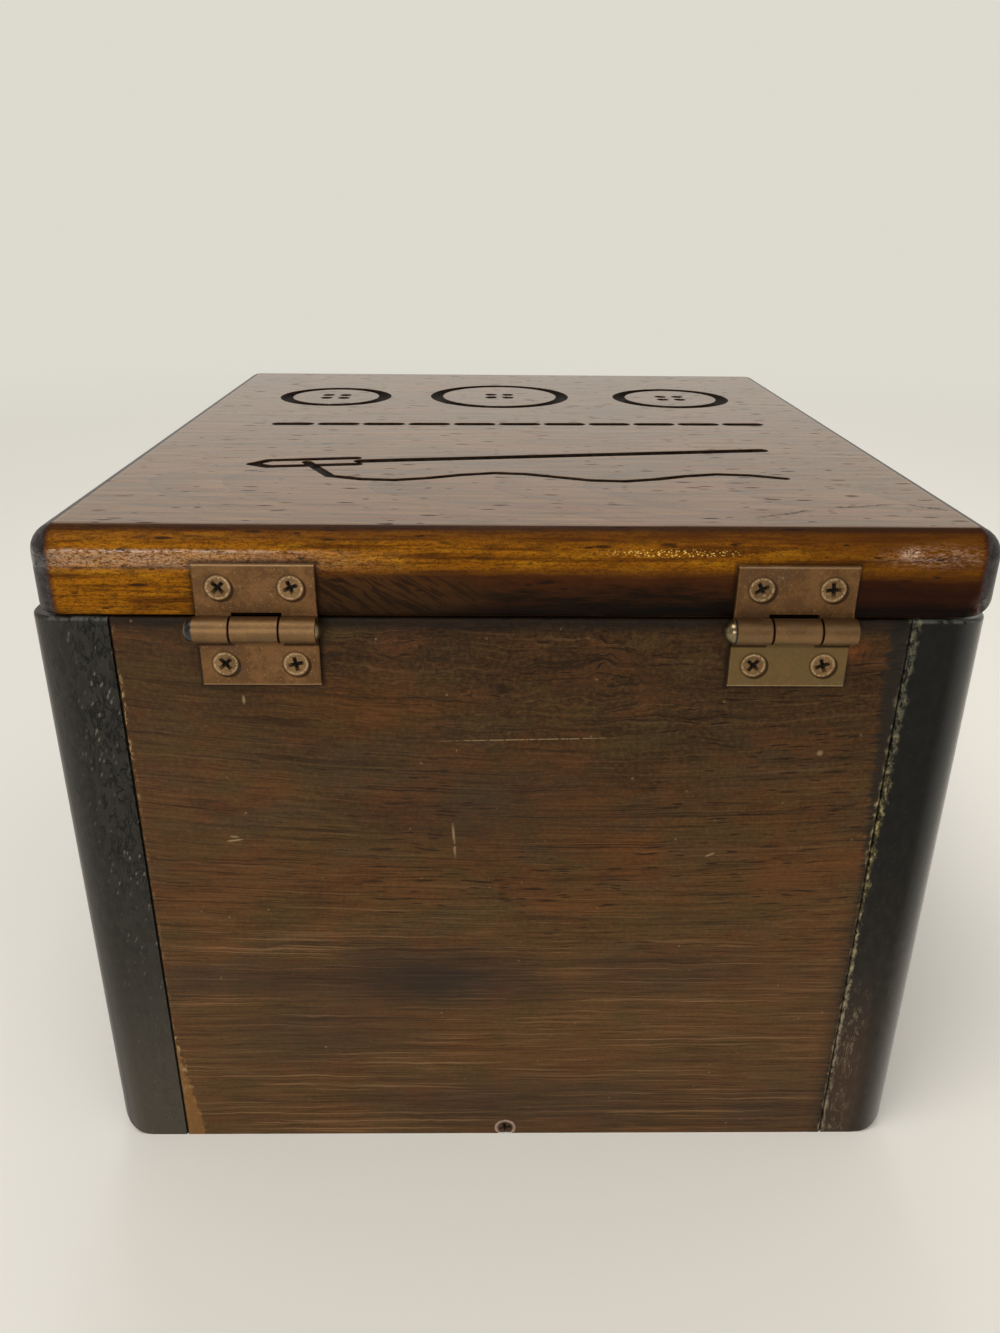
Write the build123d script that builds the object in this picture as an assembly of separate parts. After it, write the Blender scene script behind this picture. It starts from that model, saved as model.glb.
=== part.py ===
from build123d import *
import math
import os

# A small wooden sewing chest with a thick lid on two surface hinges and a lift-out tray.
# Millimetres. The front faces -Y, the hinged back faces +Y, and the chest stands on Z = 0.

# Chest walls
body_width = 206.0
body_depth = 220.0
body_height = 148.6
side_board_thickness = 17.6
panel_thickness = 17.6
outer_round = 7.0
lower_round_width = 10.0
lower_round_height = 7.5
rim_ease = 0.8
joint_ease = 0.6
bottom_board_thickness = 6.0

# Lid board
lid_thickness = 18.8
lid_side_inset = 0.8
lid_side_shift = -1.2
lid_front_overhang = 5.0
lid_seat_gap = 0.3
lid_round = 6.0
lid_lower_ease = 1.5
lid_lower_rounds = {"right": (5.0, 3.5), "left": (10.0, 6.0)}

# Hinges, screwed flat on the back faces of the lid and of the back panel
right_hinge_from_side = 49.3
left_hinge_from_side = 43.6
hinge_axis_drop = 1.4
hinge_length = 25.4
leaf_width = 13.6
leaf_thickness = 1.1
leaf_edge_ease = 0.25
knuckle_radius = 2.8
centre_knuckle_length = 10.0
knuckle_end_gap = 0.3
knuckle_stand_off = 0.25
knuckle_relief = 0.3
knuckle_seam = 0.25

# Hinge pins, domed at the right end and peened over at the left
pin_clearance = 0.05
pin_head_radius = 2.7
pin_head_height = 2.6
pin_tail_radius = 2.2
pin_tail_height = 1.1

# Countersunk cross-recess screws
screw_head_radius = 2.8
screw_head_depth = 1.6
screw_shank_radius = 1.4
screw_length = 12.7
screw_tip_length = 3.0
screw_clearance = 0.05
screw_pitch = 15.0
screw_from_axis = 8.6
recess_span = 3.3
recess_width = 0.85
recess_depth = 1.3
recess_floor_share = 0.35

# Screws through the front and back panels into the edges of the bottom board
bottom_screw_length = 32.0
bottom_screw_height = 2.0
bottom_screw_flat = 0.4

# Flat-wire nails, driven below the face, through the side boards into the ends of the panels
nail_width = 1.3
nail_thickness = 1.0
nail_head_width = 2.0
nail_head_depth = 1.2
nail_point_length = 1.5
nail_set = 0.3
nail_length = 42.0
nail_clearance = 0.05
nail_count = 3
nail_end_margin = 26.0

# Runners that carry the tray
runner_width = 8.0
runner_height = 9.0
brad_length = 17.0
brad_count = 3
brad_end_margin = 30.0

# Lift-out tray
tray_drop = 12.0
tray_height = 38.0
tray_clearance = 1.5
tray_wall = 6.0
tray_floor = 3.0
tray_rim_ease = 1.0
handle_divider_thickness = 7.0
finger_slot_length = 64.0
finger_slot_height = 15.0
finger_slot_drop = 6.0
short_divider_thickness = 4.0
short_divider_drop = 5.0
back_divider_spacing = 80.0
front_divider_offset = 40.0

# Turns of the cross recesses, in degrees, as the screws happened to stop
lid_screw_turns = {"right": (45, 22), "left": (28, 5)}
body_screw_turns = {"right": (42, 12), "left": (50, 20)}
bottom_screw_turns = (15, 40)

# How near an edge lies to the place where it is looked for
match_tolerance = 0.01

# Places worked out from the sizes above
half_width = body_width / 2
half_depth = body_depth / 2
inner_half_width = half_width - side_board_thickness
inner_half_depth = half_depth - panel_thickness
lid_underside = body_height + lid_seat_gap
lid_width = body_width - 2 * lid_side_inset
lid_depth = body_depth + lid_front_overhang
axis_stand_off = knuckle_radius + knuckle_stand_off
hinge_axis_y = half_depth + axis_stand_off
hinge_axis_z = body_height - hinge_axis_drop
knuckle_bore_radius = knuckle_radius - leaf_thickness
relief_edge = knuckle_radius + knuckle_relief
hinge_centres = {
    "right": half_width - right_hinge_from_side,
    "left": left_hinge_from_side - half_width,
}
tray_top = body_height - tray_drop
tray_base = tray_top - tray_height
tray_half_width = inner_half_width - tray_clearance
tray_half_depth = inner_half_depth - tray_clearance
tray_floor_top = tray_base + tray_floor
runner_base = tray_base - runner_height


def block(x_span, y_span, z_span):
    """A rectangular block between the two given limits on each axis."""
    size = [span[1] - span[0] for span in (x_span, y_span, z_span)]
    middle = [(span[0] + span[1]) / 2 for span in (x_span, y_span, z_span)]
    return Pos(*middle) * Box(*size)


def turned(points):
    """A solid of revolution about Z from (radius, height) points."""
    section = Plane.XZ * make_face(Polyline(*points, close=True))
    return revolve(section, Axis.Z)


def facing(point, direction, turn=0.0):
    """A plane whose normal is the direction a fastener's head faces."""
    return Plane(origin=point, x_dir=(0, 0, 1), z_dir=direction) * Rot(0, 0, turn)


def evenly(first, last, count):
    """Places spread evenly from the first to the last, both included."""
    if count < 2:
        return [(first + last) / 2]
    return [first + (last - first) * i / (count - 1) for i in range(count)]


def edges_at(solid, direction, axis, place):
    """Straight edges along a direction whose centres lie at a place on an axis."""
    along = solid.edges().filter_by(direction)
    return along.filter_by_position(axis, place - match_tolerance, place + match_tolerance)


# Fasteners


def screw_shape(length, grow=0.0):
    """Outline of a countersunk screw with its flat head at Z = 0, or of its hole."""
    head = screw_head_radius + grow
    shank = screw_shank_radius + grow
    tip = -length - grow
    shoulder = tip + screw_tip_length
    return turned([(0, 0), (head, 0), (shank, -screw_head_depth), (shank, shoulder), (0, tip)])


def cross_recess():
    """Two crossed slots that narrow towards their floor."""
    slots = []
    for turn in (0, 90):
        mouth = Plane.XY * Rectangle(recess_span, recess_width)
        floor_span = recess_span * recess_floor_share
        floor_width = recess_width * recess_floor_share
        floor = Plane.XY.offset(-recess_depth) * Rectangle(floor_span, floor_width)
        slots.append(Rot(0, 0, turn) * loft([mouth.face(), floor.face()], ruled=True))
    return slots[0] + slots[1]


def screw(length):
    """A countersunk wood screw, head at Z = 0, point towards -Z."""
    return screw_shape(length) - cross_recess()


def nail_shape(length, grow=0.0, mouth=0.0):
    """A flat-wire nail with its narrow head at Z = 0, or its hole up to a mouth above that."""
    head = nail_head_width / 2 + grow
    shank = nail_width / 2 + grow
    step = -nail_head_depth - grow
    tip = -length - grow
    shoulder = tip + nail_point_length
    profile = make_face(Polyline(
        (-head, mouth), (head, mouth), (head, step), (shank, step), (shank, shoulder),
        (0, tip), (-shank, shoulder), (-shank, step), (-head, step), close=True,
    ))
    return extrude(Plane.XZ * profile, amount=nail_thickness / 2 + grow, both=True)


def nail_places():
    """Planes of the nail heads on the outer faces of both side boards."""
    heights = evenly(nail_end_margin, body_height - nail_end_margin, nail_count)
    middle = half_depth - panel_thickness / 2
    places = []
    for side in (1, -1):
        for end in (1, -1):
            for height in heights:
                places.append(facing((side * (half_width - nail_set), end * middle, height), (side, 0, 0)))
    return places


def brad_places():
    """Planes of the brad heads on the inner faces of both runners."""
    depths = evenly(brad_end_margin - inner_half_depth, inner_half_depth - brad_end_margin, brad_count)
    middle = runner_base + runner_height / 2
    head = inner_half_width - runner_width + nail_set
    return [facing((side * head, depth, middle), (-side, 0, 0)) for side in (1, -1) for depth in depths]


def leaf_screw_planes(side, level, turns):
    """Planes of the two screw heads of a leaf, level 1 on the lid and -1 on the panel."""
    face = half_depth + leaf_thickness
    height = hinge_axis_z + level * screw_from_axis
    centre = hinge_centres[side]
    places = (centre + screw_pitch / 2, centre - screw_pitch / 2)
    return [facing((x, face, height), (0, 1, 0), turn) for x, turn in zip(places, turns)]


def bottom_screw_planes():
    """Planes of the screw heads at the lower edges of the front and back panels."""
    return [
        facing((0, end * half_depth, bottom_screw_height), (0, end, 0), turn)
        for end, turn in zip((1, -1), bottom_screw_turns)
    ]


def lower_edge_waste(corner_x, corner_z, side, width, height):
    """What an oval rounding takes off a board's lower edge that runs from front to back."""
    amount = 2 * body_depth
    corner = extrude(Plane.XZ * Rectangle(2 * width, 2 * height), amount=amount, both=True)
    oval = extrude(Plane.XZ * Ellipse(width, height), amount=amount, both=True)
    return Pos(corner_x, 0, corner_z) * (corner - Pos(-side * width, 0, height) * oval)


def bored(solid, planes, cutter):
    """The solid with a fastener's hole cut at each plane."""
    for plane in planes:
        solid -= plane * cutter
    return solid


screw_hole = screw_shape(screw_length, screw_clearance)
bottom_screw_hole = screw_shape(bottom_screw_length, screw_clearance)
# A nail is set below the face, so its hole starts outside it.
nail_hole = nail_shape(nail_length, nail_clearance, 2 * nail_set)
brad_hole = nail_shape(brad_length, nail_clearance, 2 * nail_set)


# Chest body


def side_board(side):
    """A side board, whose end grain shows on the front and the back."""
    outer = side * half_width
    inner = side * inner_half_width
    board = block(sorted((inner, outer)), (-half_depth, half_depth), (0, body_height))
    board = fillet(edges_at(board, Axis.Z, Axis.X, outer), outer_round)
    rim = board.faces().sort_by(Axis.Z)[-1].edges()
    board = fillet(rim.filter_by(lambda edge: abs(edge.center().X - inner) > rim_ease), rim_ease)
    board -= lower_edge_waste(outer, 0, side, lower_round_width, lower_round_height)
    board = bored(board, nail_places(), nail_hole)
    return bored(board, brad_places(), brad_hole)


def end_panel(end):
    """The front or back panel, let in between the side boards."""
    outer = end * half_depth
    inner = end * inner_half_depth
    panel = block((-inner_half_width, inner_half_width), sorted((inner, outer)), (0, body_height))
    joints = edges_at(panel, Axis.Z, Axis.Y, outer)
    panel = chamfer(joints, joint_ease)
    rim = edges_at(panel, Axis.X, Axis.Y, outer).sort_by(Axis.Z)[-1:]
    panel = fillet(rim, rim_ease)
    panel = bored(panel, nail_places(), nail_hole)
    panel = bored(panel, bottom_screw_planes(), bottom_screw_hole)
    if end > 0:
        for side in hinge_centres:
            panel = bored(panel, leaf_screw_planes(side, -1, (0, 0)), screw_hole)
    return panel


def bottom_board():
    """The bottom, let in flush between the four walls."""
    board = block(
        (-inner_half_width, inner_half_width), (-inner_half_depth, inner_half_depth), (0, bottom_board_thickness)
    )
    return bored(board, bottom_screw_planes(), bottom_screw_hole)


def tray_runner(side):
    """A strip on a side board's inner face that the tray rests on."""
    wall = side * inner_half_width
    edge = side * (inner_half_width - runner_width)
    strip = block(sorted((wall, edge)), (-inner_half_depth, inner_half_depth), (runner_base, tray_base))
    return bored(strip, brad_places(), brad_hole)


# Lid


def lid_board():
    """One thick board with rounded edges, overhanging the front for the fingers."""
    left = lid_side_shift - lid_width / 2
    right = lid_side_shift + lid_width / 2
    ends = {"right": (right, 1), "left": (left, -1)}
    board = block(
        (left, right), (half_depth - lid_depth, half_depth), (lid_underside, lid_underside + lid_thickness)
    )
    upright = board.edges().filter_by(Axis.Z)
    upper = board.faces().sort_by(Axis.Z)[-1].edges()
    board = fillet(upright + upper, lid_round)
    board = fillet(board.faces().sort_by(Axis.Z)[0].edges(), lid_lower_ease)
    for name, (place, side) in ends.items():
        board -= lower_edge_waste(place, lid_underside, side, *lid_lower_rounds[name])
    for side in hinge_centres:
        board = bored(board, leaf_screw_planes(side, 1, (0, 0)), screw_hole)
    return board


# Hinges, drawn about the pin's axis: X along the pin, Y out from the wood, Z up


def knuckle(x_span, level):
    """A knuckle rolled from the leaf: a neck off the wood, then once round the pin."""
    wood = -axis_stand_off
    barrel = Circle(knuckle_radius) - Circle(knuckle_bore_radius)
    seam_edge = -knuckle_bore_radius
    seam = Pos(seam_edge + knuckle_seam / 2, knuckle_radius / 2) * Rectangle(knuckle_seam, knuckle_radius)
    neck = make_face(Polyline(
        (wood, relief_edge),
        (-knuckle_radius, 0),
        (-knuckle_bore_radius, 0),
        (wood + leaf_thickness, relief_edge),
        close=True,
    ))
    section = barrel - seam + neck
    if level < 0:
        section = mirror(section, Plane.XZ)
    profile = Plane(origin=(x_span[0], 0, 0), x_dir=(0, 1, 0), z_dir=(1, 0, 0)) * section
    return extrude(profile, amount=x_span[1] - x_span[0])


def hinge_leaf(side, level):
    """A leaf with its knuckles: two outer ones on the lid, the centre one on the panel."""
    half_length = hinge_length / 2
    half_centre = centre_knuckle_length / 2
    wood = -axis_stand_off
    heights = sorted((level * relief_edge, level * leaf_width))
    plate = block((-half_length, half_length), (wood, wood + leaf_thickness), heights)
    outer_edge = plate.faces().sort_by(Axis.Y)[-1].edges()
    outer_edge = outer_edge.filter_by(lambda edge: abs(edge.center().Z) > relief_edge + leaf_edge_ease)
    plate = fillet(outer_edge, leaf_edge_ease)
    if level > 0:
        gap_edge = half_centre + knuckle_end_gap
        spans = [(-half_length, -gap_edge), (gap_edge, half_length)]
    else:
        spans = [(-half_centre, half_centre)]
    for span in spans:
        plate += knuckle(span, level)
    leaf = Pos(hinge_centres[side], hinge_axis_y, hinge_axis_z) * plate
    return bored(leaf, leaf_screw_planes(side, level, (0, 0)), screw_hole)


def dome(radius, height):
    """A domed button on Z = 0."""
    ball = (radius**2 + height**2) / (2 * height)
    start = math.atan2(ball - height, radius)
    middle = (start + math.pi / 2) / 2
    arc = ThreePointArc(
        (radius, 0), (ball * math.cos(middle), height - ball + ball * math.sin(middle)), (0, height)
    )
    section = make_face(arc + Polyline((0, height), (0, 0), (radius, 0)))
    return revolve(Plane.XZ * section, Axis.Z)


def hinge_pin(side):
    """The pin, held between its domed head and its peened tail."""
    half_length = hinge_length / 2 + pin_clearance
    shaft = Cylinder(knuckle_bore_radius - pin_clearance, 2 * half_length)
    head = Pos(0, 0, half_length) * dome(pin_head_radius, pin_head_height)
    tail = Pos(0, 0, -half_length) * Rot(180, 0, 0) * dome(pin_tail_radius, pin_tail_height)
    place = Plane(origin=(hinge_centres[side], hinge_axis_y, hinge_axis_z), x_dir=(0, 1, 0), z_dir=(1, 0, 0))
    return place * (shaft + head + tail)


# Tray


def tray_long_wall(end):
    """The tray's front or back wall, which runs its full width."""
    outer = end * tray_half_depth
    inner = end * (tray_half_depth - tray_wall)
    wall = block((-tray_half_width, tray_half_width), sorted((inner, outer)), (tray_base, tray_top))
    return fillet(wall.faces().sort_by(Axis.Z)[-1].edges().filter_by(Axis.X), tray_rim_ease)


def tray_end_wall(side):
    """The tray's left or right wall, between its front and back."""
    outer = side * tray_half_width
    inner = side * (tray_half_width - tray_wall)
    reach = tray_half_depth - tray_wall
    wall = block(sorted((inner, outer)), (-reach, reach), (tray_base, tray_top))
    return fillet(wall.faces().sort_by(Axis.Z)[-1].edges().filter_by(Axis.Y), tray_rim_ease)


def tray_floor_board():
    """The tray's thin floor, let in between its walls."""
    reach_x = tray_half_width - tray_wall
    reach_y = tray_half_depth - tray_wall
    return block((-reach_x, reach_x), (-reach_y, reach_y), (tray_base, tray_floor_top))


def tray_handle_divider():
    """The middle divider, with a long slot for the fingers that lift the tray."""
    reach = tray_half_width - tray_wall
    half = handle_divider_thickness / 2
    divider = block((-reach, reach), (-half, half), (tray_floor_top, tray_top))
    divider = fillet(divider.faces().sort_by(Axis.Z)[-1].edges().filter_by(Axis.X), tray_rim_ease)
    slot_centre = tray_top - finger_slot_drop - finger_slot_height / 2
    slot = Plane(origin=(0, -handle_divider_thickness, slot_centre), x_dir=(1, 0, 0), z_dir=(0, 1, 0))
    slot = extrude(slot * SlotOverall(finger_slot_length, finger_slot_height), amount=2 * handle_divider_thickness)
    return divider - slot


def tray_short_divider(x_middle, end):
    """A low divider from the handle divider to the tray's front or back wall."""
    half = short_divider_thickness / 2
    near = end * handle_divider_thickness / 2
    far = end * (tray_half_depth - tray_wall)
    top = tray_top - short_divider_drop
    divider = block((x_middle - half, x_middle + half), sorted((near, far)), (tray_floor_top, top))
    return fillet(divider.faces().sort_by(Axis.Z)[-1].edges().filter_by(Axis.Y), tray_rim_ease)


# Assembly

nodes = {
    "right_side_board": side_board(1),
    "left_side_board": side_board(-1),
    "back_panel": end_panel(1),
    "front_panel": end_panel(-1),
    "bottom_board": bottom_board(),
    "right_tray_runner": tray_runner(1),
    "left_tray_runner": tray_runner(-1),
    "lid_board": lid_board(),
    "tray_front": tray_long_wall(-1),
    "tray_back": tray_long_wall(1),
    "tray_right_end": tray_end_wall(1),
    "tray_left_end": tray_end_wall(-1),
    "tray_floor_board": tray_floor_board(),
    "tray_handle_divider": tray_handle_divider(),
    "tray_back_right_divider": tray_short_divider(back_divider_spacing / 2, 1),
    "tray_back_left_divider": tray_short_divider(-back_divider_spacing / 2, 1),
    "tray_front_divider": tray_short_divider(front_divider_offset, -1),
}

leaf_screw = screw(screw_length)
for side in hinge_centres:
    nodes[side + "_hinge_lid_leaf"] = hinge_leaf(side, 1)
    nodes[side + "_hinge_body_leaf"] = hinge_leaf(side, -1)
    nodes[side + "_hinge_pin"] = hinge_pin(side)
    for name, level, turns in (("lid", 1, lid_screw_turns), ("body", -1, body_screw_turns)):
        planes = leaf_screw_planes(side, level, turns[side])
        nodes[side + "_hinge_" + name + "_screws"] = Compound([(plane * leaf_screw).solid() for plane in planes])

flush = block((-half_width, half_width), (-half_depth, half_depth), (bottom_screw_flat, body_height))
bottom_screw = screw(bottom_screw_length)
nodes["bottom_screws"] = Compound([((plane * bottom_screw) & flush).solid() for plane in bottom_screw_planes()])
corner_nail = nail_shape(nail_length)
nodes["corner_nails"] = Compound([(plane * corner_nail).solid() for plane in nail_places()])
runner_brad = nail_shape(brad_length)
nodes["runner_brads"] = Compound([(plane * runner_brad).solid() for plane in brad_places()])

os.makedirs("parts", exist_ok=True)
for name, shape in nodes.items():
    shape.label = name
    export_step(shape, "parts/" + name + ".step")
    print(name, len(shape.solids()), "solid(s)")
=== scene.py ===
# %% [markdown]
# A wooden sewing chest
#
# The real chest is a box of thick dark-stained boards with a varnished lid on two
# small brass hinges. The measured solids come from the frame; this file dresses
# them. The boards keep their solids, and only the lid is modelled again here,
# because a design is carved into its top.

# %% Load the frame
import math

import bpy
from mathutils import Matrix, Vector


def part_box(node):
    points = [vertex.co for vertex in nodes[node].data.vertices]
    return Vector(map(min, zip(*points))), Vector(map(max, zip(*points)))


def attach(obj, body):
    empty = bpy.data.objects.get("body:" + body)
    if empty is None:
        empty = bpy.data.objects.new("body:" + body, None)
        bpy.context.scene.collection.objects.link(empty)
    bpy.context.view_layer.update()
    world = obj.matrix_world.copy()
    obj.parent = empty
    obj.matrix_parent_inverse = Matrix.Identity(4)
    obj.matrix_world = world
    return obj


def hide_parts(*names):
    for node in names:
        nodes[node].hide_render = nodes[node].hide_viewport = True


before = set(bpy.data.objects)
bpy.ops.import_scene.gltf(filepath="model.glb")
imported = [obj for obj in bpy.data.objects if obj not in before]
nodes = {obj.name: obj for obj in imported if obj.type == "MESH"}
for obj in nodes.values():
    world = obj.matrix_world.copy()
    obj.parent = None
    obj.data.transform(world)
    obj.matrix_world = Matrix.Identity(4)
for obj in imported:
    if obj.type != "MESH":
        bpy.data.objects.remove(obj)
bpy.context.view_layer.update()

# %% [markdown]
# Every size below is read from the frame, so that a finish stays in its place when
# a board changes. Shader patterns are easier to think of in millimetres, so the
# places used by the materials are turned into millimetres once, here.

# %% Places, in millimetres
MM = 1000.0


def box_mm(node):
    """The lowest and highest corner of a node, in millimetres."""
    low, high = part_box(node)
    return [v * MM for v in low], [v * MM for v in high]


lid_low, lid_high = box_mm("lid_board")
panel_high = box_mm("back_panel")[1]
BODY_TOP = box_mm("right_side_board")[1][2]
leaves = {side: box_mm(side + "_hinge_lid_leaf") for side in ("right", "left")}
hinge_middles = {side: (low[0] + high[0]) / 2 for side, (low, high) in leaves.items()}
leaf_half_width = (leaves["right"][1][0] - leaves["right"][0][0]) / 2
leaf_top = leaves["right"][1][2]
leaf_foot = box_mm("right_hinge_body_leaf")[0][2]
LID_TOP = lid_high[2]
LID_UNDER = lid_low[2]
BACK = panel_high[1]
JOINT = panel_high[0]
inner_face = box_mm("bottom_board")[1][1]
print("lid top", round(LID_TOP, 1), "back face", round(BACK, 1), "joint at", round(JOINT, 1))

# %% [markdown]
# The photograph was taken from behind the chest, a little above it, from about
# twenty centimetres away with a phone. A camera that is turned in three plain steps
# (tilt, heading, roll) can be checked against the picture one step at a time.

# %% The camera
PHOTO_HEIGHT = 1333
FOCAL_PIXELS = 1029.8
SENSOR = 36.0
CAMERA_PLACE = (0.00583, 0.3131, 0.2276)
CAMERA_PITCH = math.radians(23.88)
CAMERA_YAW = math.radians(0.92)
CAMERA_ROLL = math.radians(0.55)

bpy.ops.object.select_all(action="DESELECT")
bpy.ops.object.camera_add(location=CAMERA_PLACE)
camera = bpy.context.object
camera.name = "photo_camera"
camera.data.sensor_width = SENSOR
camera.data.lens = FOCAL_PIXELS / PHOTO_HEIGHT * SENSOR
camera.data.clip_start = 0.01
heading = Matrix.Rotation(math.pi - CAMERA_YAW, 4, "Z")
tilt = Matrix.Rotation(math.pi / 2 - CAMERA_PITCH, 4, "X")
roll = Matrix.Rotation(CAMERA_ROLL, 4, "Z")
camera.matrix_world = Matrix.Translation(CAMERA_PLACE) @ heading @ tilt @ roll
bpy.context.scene.camera = camera
bpy.context.scene.view_settings.view_transform = "Standard"
print("lens", round(camera.data.lens, 2), "mm")

# %% [markdown]
# Materials are trees of nodes. Two small classes make them readable. `Shade` wraps
# one socket, so that plain Python arithmetic adds the Math nodes. `Finish` holds one
# tree, and its `node` method adds any other node from its type, settings and inputs.

# %% Shader arithmetic


class Shade:
    """A socket that Python arithmetic can work on."""

    def __init__(self, finish, socket):
        self.finish = finish
        self.socket = socket

    def math(self, operation, first, second=0.0):
        """A Math node on two values, either of which may be this socket."""
        return self.finish.node("ShaderNodeMath", {"operation": operation}, {0: first, 1: second})

    def __add__(self, other):
        return self.math("ADD", self, other)

    __radd__ = __add__

    def __sub__(self, other):
        return self.math("SUBTRACT", self, other)

    def __rsub__(self, other):
        return self.math("SUBTRACT", other, self)

    def __mul__(self, other):
        return self.math("MULTIPLY", self, other)

    __rmul__ = __mul__

    def __truediv__(self, other):
        return self.math("DIVIDE", self, other)

    def __pow__(self, other):
        return self.math("POWER", self, other)

    def abs(self):
        return self.math("ABSOLUTE", self)

    def root(self):
        return self.math("SQRT", self)

    def fraction(self):
        return self.math("FRACT", self)

    def most(self, other):
        return self.math("MAXIMUM", self, other)

    def least(self, other):
        return self.math("MINIMUM", self, other)

    def rise(self, low, high):
        """0 below low and 1 above high, with a smooth step between."""
        settings = {"interpolation_type": "SMOOTHSTEP"}
        return self.finish.node("ShaderNodeMapRange", settings, {0: self, 1: low, 2: high})

    def fall(self, low, high):
        """1 below low and 0 above high."""
        return 1.0 - self.rise(low, high)


class Finish:
    """One tree of nodes, for a material or for the world."""

    def __init__(self, owner):
        owner.use_nodes = True
        self.owner = owner
        self.tree = owner.node_tree
        self.tree.nodes.clear()

    def node(self, kind, settings=None, values=None, out=0):
        """Adds a node: its settings first, then the values or links of its inputs."""
        made = self.tree.nodes.new(kind)
        for name, value in (settings or {}).items():
            setattr(made, name, value)
        for name, value in (values or {}).items():
            if isinstance(value, Shade):
                self.tree.links.new(value.socket, made.inputs[name])
            else:
                made.inputs[name].default_value = value
        return Shade(self, made.outputs[out]) if made.outputs else None

    def place(self):
        """The point on the piece, in millimetres."""
        metres = self.node("ShaderNodeTexCoord", out="Object")
        return self.node("ShaderNodeVectorMath", {"operation": "SCALE"}, {0: metres, "Scale": MM})

    def parts(self, vector):
        """The three components of a vector."""
        split = self.node("ShaderNodeSeparateXYZ", None, {0: vector})
        outputs = split.socket.node.outputs
        return [Shade(self, outputs[i]) for i in range(3)]

    def vector(self, x, y, z):
        return self.node("ShaderNodeCombineXYZ", None, {0: x, 1: y, 2: z})

    def stretch(self, vector, scale):
        """The vector with each component multiplied by its own number."""
        return self.node("ShaderNodeVectorMath", {"operation": "MULTIPLY"}, {0: vector, 1: scale})

    def shift(self, vector, step):
        return self.node("ShaderNodeVectorMath", {"operation": "ADD"}, {0: vector, 1: step})

    def noise(self, vector, detail, roughness=0.5, distortion=0.0):
        """Soft noise from 0 to 1, mostly near a half, with waves about one unit long."""
        values = {"Vector": vector, "Scale": 1.0, "Detail": detail}
        values |= {"Roughness": roughness, "Distortion": distortion}
        return self.node("ShaderNodeTexNoise", None, values)

    def cloud(self, vector, fineness, detail, roughness=0.5, distortion=0.0, step=None):
        """Noise with a fineness of its own along each axis, moved by a step."""
        scaled = self.stretch(vector, fineness)
        if step is not None:
            scaled = self.shift(scaled, step)
        return self.noise(scaled, detail, roughness, distortion)

    def cells(self, vector, out="Distance"):
        """Distance to the nearest of one random point per unit cube, or its random colour."""
        return self.node("ShaderNodeTexVoronoi", None, {"Vector": vector, "Scale": 1.0}, out)

    def mix(self, mask, below, above):
        """The colour below, covered by the colour above where the mask is 1."""
        return self.node("ShaderNodeMix", {"data_type": "RGBA"}, {0: mask, 6: below, 7: above}, 2)

    def stain(self, colour, *layers):
        """The colour under layers of tone, each a mask and the tone's three numbers."""
        for mask, *tone in layers:
            colour = self.mix(mask, colour, paint(*tone))
        return colour

    def bump(self, height, depth_mm):
        """A bump whose height of 1 stands a depth in millimetres proud."""
        return self.node("ShaderNodeBump", None, {"Height": height, "Distance": depth_mm / MM})

    def surface(self, values):
        """The material's surface, from the inputs of one Principled shader."""
        shader = self.node("ShaderNodeBsdfPrincipled", None, values)
        self.node("ShaderNodeOutputMaterial", None, {"Surface": shader})
        return self.owner


def linear(value):
    value /= 255.0
    return value / 12.92 if value <= 0.04045 else ((value + 0.055) / 1.055) ** 2.4


def paint(red, green, blue):
    """A colour from the 0 to 255 numbers that a picture shows."""
    return (linear(red), linear(green), linear(blue), 1.0)


def new_finish(name):
    return Finish(bpy.data.materials.new(name))


print("amber as a linear colour:", [round(v, 3) for v in paint(150, 96, 30)])

# %% [markdown]
# The chest stands on a pale floor in soft studio light. The room is pale behind the
# chest and dimmer on the camera's side, which is what the varnish reflects in the
# photograph. The world is painted for reflections and for the camera, and gives the
# diffuse surfaces a plain even light.

# %% The floor and the light
FLOOR_TONE = paint(240, 237, 232)
SHADED_TONE = paint(226, 224, 220)
SHADE_REACH_MM = 260.0
SKY_TONE = paint(221, 218, 208)
MIRRORED_TONE = paint(216, 213, 205)
DIM_TONE = paint(84, 80, 73)
FILL_STRENGTH = 0.76
FLOOR_RADIUS = 5.0
FADE_START_MM, FADE_END_MM = 350.0, 1500.0
CHEST_MIDDLE = Vector((0.0, 0.0, 0.08))

bpy.ops.mesh.primitive_circle_add(vertices=96, radius=FLOOR_RADIUS, fill_type="NGON", location=(0, 0, 0))
floor = bpy.context.object
floor.name = "studio_floor"
floor_finish = new_finish("studio_floor")
x, y, z = floor_finish.parts(floor_finish.place())
distance = (x * x + y * y).root()
far = distance.rise(FADE_START_MM, FADE_END_MM)
light_path = floor_finish.node("ShaderNodeLightPath", out="Is Camera Ray")
shaded = floor_finish.mix(x.rise(-SHADE_REACH_MM, SHADE_REACH_MM), FLOOR_TONE, SHADED_TONE)
matte = floor_finish.node("ShaderNodeBsdfDiffuse", None, {"Color": shaded})
pale_light = floor_finish.node("ShaderNodeEmission", None, {"Color": SKY_TONE})
blend = floor_finish.node("ShaderNodeMixShader", None, {0: far * light_path, 1: matte, 2: pale_light})
floor_finish.node("ShaderNodeOutputMaterial", None, {"Surface": blend})
floor.data.materials.append(floor_finish.owner)

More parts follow.
